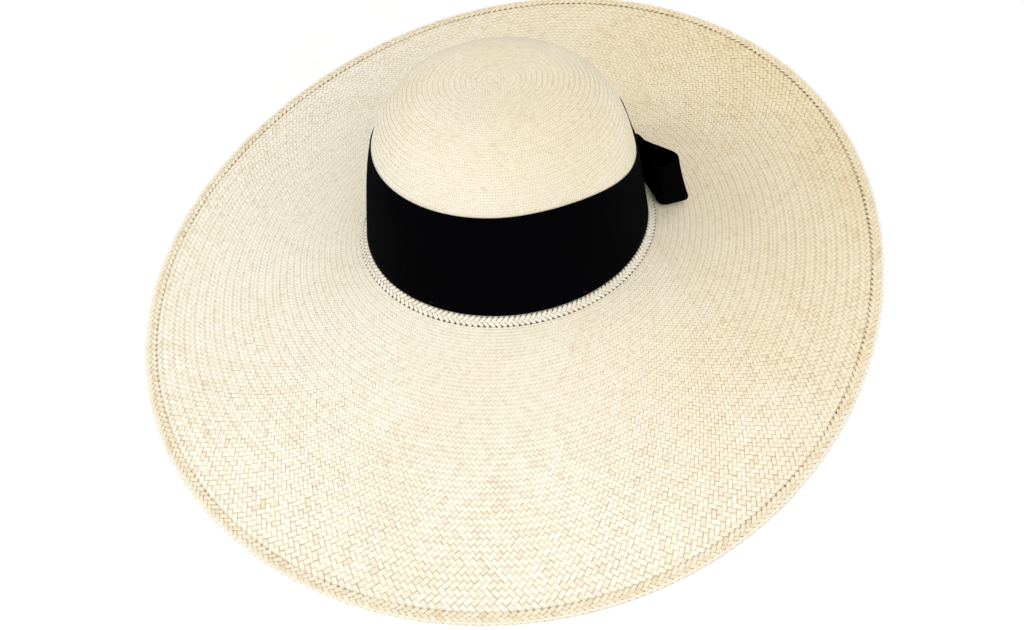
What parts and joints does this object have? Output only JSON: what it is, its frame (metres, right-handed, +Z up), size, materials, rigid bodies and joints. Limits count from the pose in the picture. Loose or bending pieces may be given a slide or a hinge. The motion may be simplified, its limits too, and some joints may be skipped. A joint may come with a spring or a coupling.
{
  "type": "wide-brimmed straw sun hat",
  "caption": "Wide-brimmed woven straw sun hat with a rounded crown, a broad black ribbon band and a flat black bow on the wearer's left.",
  "frame": {"origin": "middle of the hat's box, in the plane that the edge of the brim stands on", "axes": "+Z up, -Y to the front of the hat, +X to the wearer's left"},
  "size_m": [0.4822, 0.532, 0.1582],
  "materials": {
    "straw": "matte",
    "straw_braid": "matte",
    "black_ribbon": "matte",
    "black_thread": "matte",
    "cotton": "matte",
    "cotton_thread": "matte",
    "label_cloth": "matte"
  },
  "bodies": {
    "hat": {"crown": "straw", "brim": "straw", "crown_base_braid": "straw_braid", "brim_edge_braid": "straw_braid", "hatband": "black_ribbon", "bow_knot": "black_ribbon", "hatband_tack_front": "black_thread", "hatband_tack_front_left": "black_thread", "hatband_tack_front_right": "black_thread", "hatband_tack_rear": "black_thread", "hatband_tack_rear_right": "black_thread", "sweatband": "cotton", "sweatband_stitching": "cotton_thread"},
    "front_loop": {"bow_front_loop": "black_ribbon", "bow_front_tail": "black_ribbon"},
    "rear_loop": {"bow_rear_loop": "black_ribbon", "bow_rear_tail": "black_ribbon"},
    "label": {"size_label": "label_cloth"}
  },
  "joints": [
    {"name": "front_loop_bend", "type": "hinge", "parent": "hat", "child": "front_loop", "pos_m": [0.061, 0.07623, 0.04258], "axis": [-0.0869, 0.1105, 0.9901], "range_deg": [0, 25], "stiffness_Nm_per_rad": 0.01},
    {"name": "rear_loop_bend", "type": "hinge", "parent": "hat", "child": "rear_loop", "pos_m": [0.04644, 0.08653, 0.04015], "axis": [0.0869, -0.1105, -0.9901], "range_deg": [0, 25], "stiffness_Nm_per_rad": 0.01},
    {"name": "label_lift", "type": "hinge", "parent": "hat", "child": "label", "pos_m": [0, 0.08937, 0.05066], "axis": [-1, 0, 0], "range_deg": [0, 110]}
  ]
}
